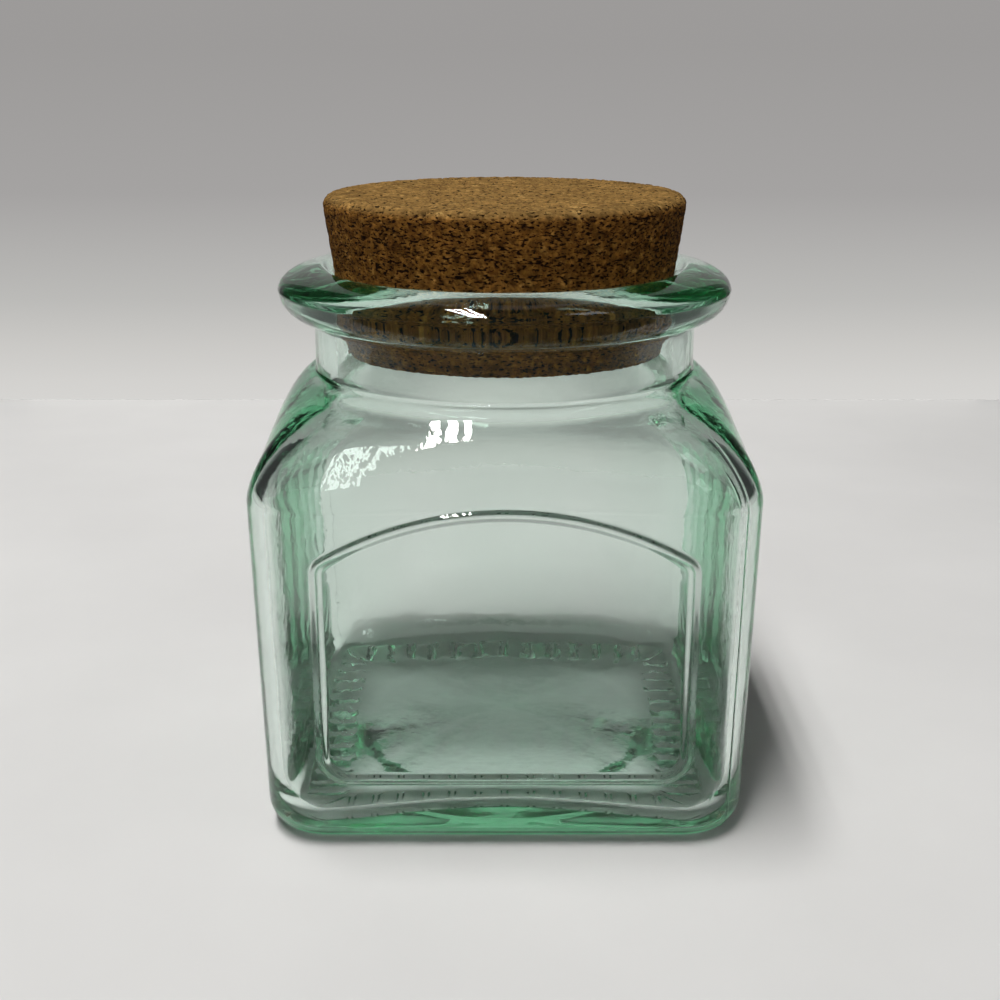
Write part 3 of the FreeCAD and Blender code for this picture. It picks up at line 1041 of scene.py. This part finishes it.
# Painted light of the backdrop's glow, from the floor up
WALL_STOPS = [(0.0, (0.67, 0.66, 0.64)), (0.06, (0.65, 0.64, 0.62)), (0.16, (0.595, 0.585, 0.565)),
              (0.3, (0.50, 0.495, 0.48)), (0.6, (0.375, 0.365, 0.36)), (1.0, (0.335, 0.325, 0.32))]
WALL_RAMP_HEIGHT = 0.15
WALL_FILL = 0.3
WING_WIDTH = 3.0

# Painted shade: dark card that lies in front of the jar, for the dark surroundings in front
CARD_NEAR_Y = -0.06
CARD_FAR_Y = -0.9
CARD_HALF = 0.5
CARD_Z = 2 * MM
CARD_GREY = 0.02


def seen_ray(nodes, links):
    """1 for rays from the camera, in reflections and through glass, 0 for those that light matt surfaces."""
    path = nodes.new("ShaderNodeLightPath").outputs
    total = math_node(nodes, links, "MAXIMUM", path["Is Camera Ray"], path["Is Glossy Ray"])
    return math_node(nodes, links, "MAXIMUM", total, path["Is Transmission Ray"])


def wall_material():
    """Glowing backdrop with painted light that fades from pale at the floor to grey above, whatever the lamps
    do.
    """
    material, nodes, links, _ = new_material("grey_backdrop")
    place = nodes.new("ShaderNodeTexCoord").outputs["Object"]
    height = math_node(nodes, links, "DIVIDE", split_node(nodes, links, place)["Z"], WALL_RAMP_HEIGHT)
    glow = nodes.new("ShaderNodeEmission")
    links.new(ramp_node(nodes, links, height, WALL_STOPS), glow.inputs["Color"])
    strength = range_node(nodes, links, seen_ray(nodes, links), 0.0, 1.0, WALL_FILL, 1.0)
    links.new(strength, glow.inputs["Strength"])
    links.new(glow.outputs["Emission"], nodes["Material Output"].inputs["Surface"])
    return material


def plane(name, corners, material):
    """Flat stage piece through four corners."""
    mesh = bpy.data.meshes.new(name)
    mesh.from_pydata(corners, [], [(0, 1, 2, 3)])
    mesh.materials.append(material)
    obj = bpy.data.objects.new(name, mesh)
    bpy.context.scene.collection.objects.link(obj)
    return obj


def level(name, half, front, back, z, material):
    """Level sheet, as far to the left of the jar as to the right."""
    return plane(name, [(-half, front, z), (half, front, z), (half, back, z), (-half, back, z)], material)


def upright(name, left, right, material):
    """Upright sheet of the backdrop between two places along X."""
    top = WALL_HEIGHT
    corners = [(left, WALL_Y, 0), (right, WALL_Y, 0), (right, WALL_Y, top), (left, WALL_Y, top)]
    return plane(name, corners, material)


def painted_shade_card():
    """Dark card of painted shade on the floor in front, for the dark surroundings there, that only
    reflections show, so that the glass keeps its depth.
    """
    material, _, _, shader = new_material("painted_shade_card")
    shader.inputs["Base Color"].default_value = grey(CARD_GREY) + (1.0,)
    card = level("painted_shade_card", CARD_HALF, CARD_FAR_Y, CARD_NEAR_Y, CARD_Z, material)
    card.visible_camera = False
    card.visible_diffuse = False
    card.visible_transmission = False
    card.visible_shadow = False


def stage():
    """Pale floor, the backdrop behind the jar, its wings that only the camera sees, and the dark card of
    painted shade.
    """
    level("floor", FLOOR_REACH, -FLOOR_REACH, FLOOR_REACH, 0, floor_material())
    material = wall_material()
    half = WALL_WIDTH / 2
    upright("backdrop", -half, half, material)
    wings = (("wing_left", -half - WING_WIDTH, -half), ("wing_right", half, half + WING_WIDTH))
    for name, left, right in wings:
        wing = upright(name, left, right, material)
        wing.visible_diffuse = False
        wing.visible_glossy = False
        wing.visible_transmission = False
        wing.visible_shadow = False
    painted_shade_card()


# Room light, with stops from straight behind the camera to straight behind the backdrop
WORLD_STOPS = [(0.0, 0.04), (0.9, 0.04), (1.0, 0.4)]


def world():
    """Room that is dim all round and brighter behind the backdrop, and pale to the camera itself."""
    scene_world = bpy.data.worlds.new("soft_room")
    scene_world.use_nodes = True
    nodes = scene_world.node_tree.nodes
    links = scene_world.node_tree.links
    place = nodes.new("ShaderNodeTexCoord").outputs["Generated"]
    depth = split_node(nodes, links, place)["Y"]
    toward_wall = math_node(nodes, links, "MULTIPLY_ADD", depth, 0.5, 0.5)
    room = ramp_node(nodes, links, toward_wall, WORLD_STOPS)
    to_camera = nodes.new("ShaderNodeLightPath").outputs["Is Camera Ray"]
    colour = mix_node(nodes, links, to_camera, room, grey(WORLD_BACKGROUND))
    links.new(colour, nodes["Background"].inputs["Color"])
    bpy.context.scene.world = scene_world


# Lamp tubes on the ceiling at the left, by their places along X
TUBE_PLACES = (-0.225, -0.297, -0.37)
TUBE_Y = -0.48
TUBE_Z = 1.57
TUBE_WIDTH = 0.036
TUBE_LENGTH = 1.4
TUBE_RADIANCE = 64.0

# Weaker lamp off to the right
SECOND_PLACE = (0.5, -0.3, 0.9)
SECOND_SIZE = 0.25
SECOND_RADIANCE = 2.0


def softbox(name, place, target, width, height, radiance):
    """Rectangular lamp at a place, facing a target; radiance is the brightness of its face."""
    lamp = bpy.data.lights.new(name, "AREA")
    lamp.shape = "RECTANGLE"
    lamp.size = width
    lamp.size_y = height
    lamp.energy = radiance * math.pi * width * height
    obj = bpy.data.objects.new(name, lamp)
    obj.location = place
    obj.rotation_euler = (Vector(target) - Vector(place)).to_track_quat("-Z", "Y").to_euler()
    obj.visible_camera = False
    bpy.context.scene.collection.objects.link(obj)


def lights():
    """Three lamp tubes high on the left that run from front to back, and a weaker lamp off to the right."""
    for number, x in enumerate(TUBE_PLACES):
        place = (x, TUBE_Y, TUBE_Z)
        softbox(f"tube_{number}", place, (x, TUBE_Y, 0.0), TUBE_WIDTH, TUBE_LENGTH, TUBE_RADIANCE)
    softbox("second", SECOND_PLACE, (0.0, 0.0, 0.0), SECOND_SIZE, SECOND_SIZE, SECOND_RADIANCE)


# Camera, and the most bounces that light may make
CAMERA_PLACE = (-0.94 * MM, -315.3 * MM, 155.4 * MM)
CAMERA_PITCH = math.radians(17.2)
CAMERA_LENS = 54.3
SENSOR_WIDTH = 36.0
BOUNCES = 24


def camera():
    """Camera at the photograph's viewing angle."""
    data = bpy.data.cameras.new("camera")
    data.lens = CAMERA_LENS
    data.sensor_width = SENSOR_WIDTH
    obj = bpy.data.objects.new("camera", data)
    obj.location = CAMERA_PLACE
    obj.rotation_euler = (QUARTER - CAMERA_PITCH, 0, 0)
    bpy.context.scene.collection.objects.link(obj)
    bpy.context.scene.camera = obj


def render_settings():
    """Plain colours, and enough bounces for light to cross both walls of the jar."""
    scene = bpy.context.scene
    scene.view_settings.view_transform = "Standard"
    scene.cycles.max_bounces = BOUNCES
    scene.cycles.transmission_bounces = BOUNCES
    scene.cycles.glossy_bounces = BOUNCES
    scene.cycles.use_denoising = True


glass = glass_body(glass_material())
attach(glass, "jar")
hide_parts("glass_jar")

cork = cork_body(cork_material())
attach(cork, "stopper")
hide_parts("cork_stopper")

stage()
world()
lights()
camera()
render_settings()
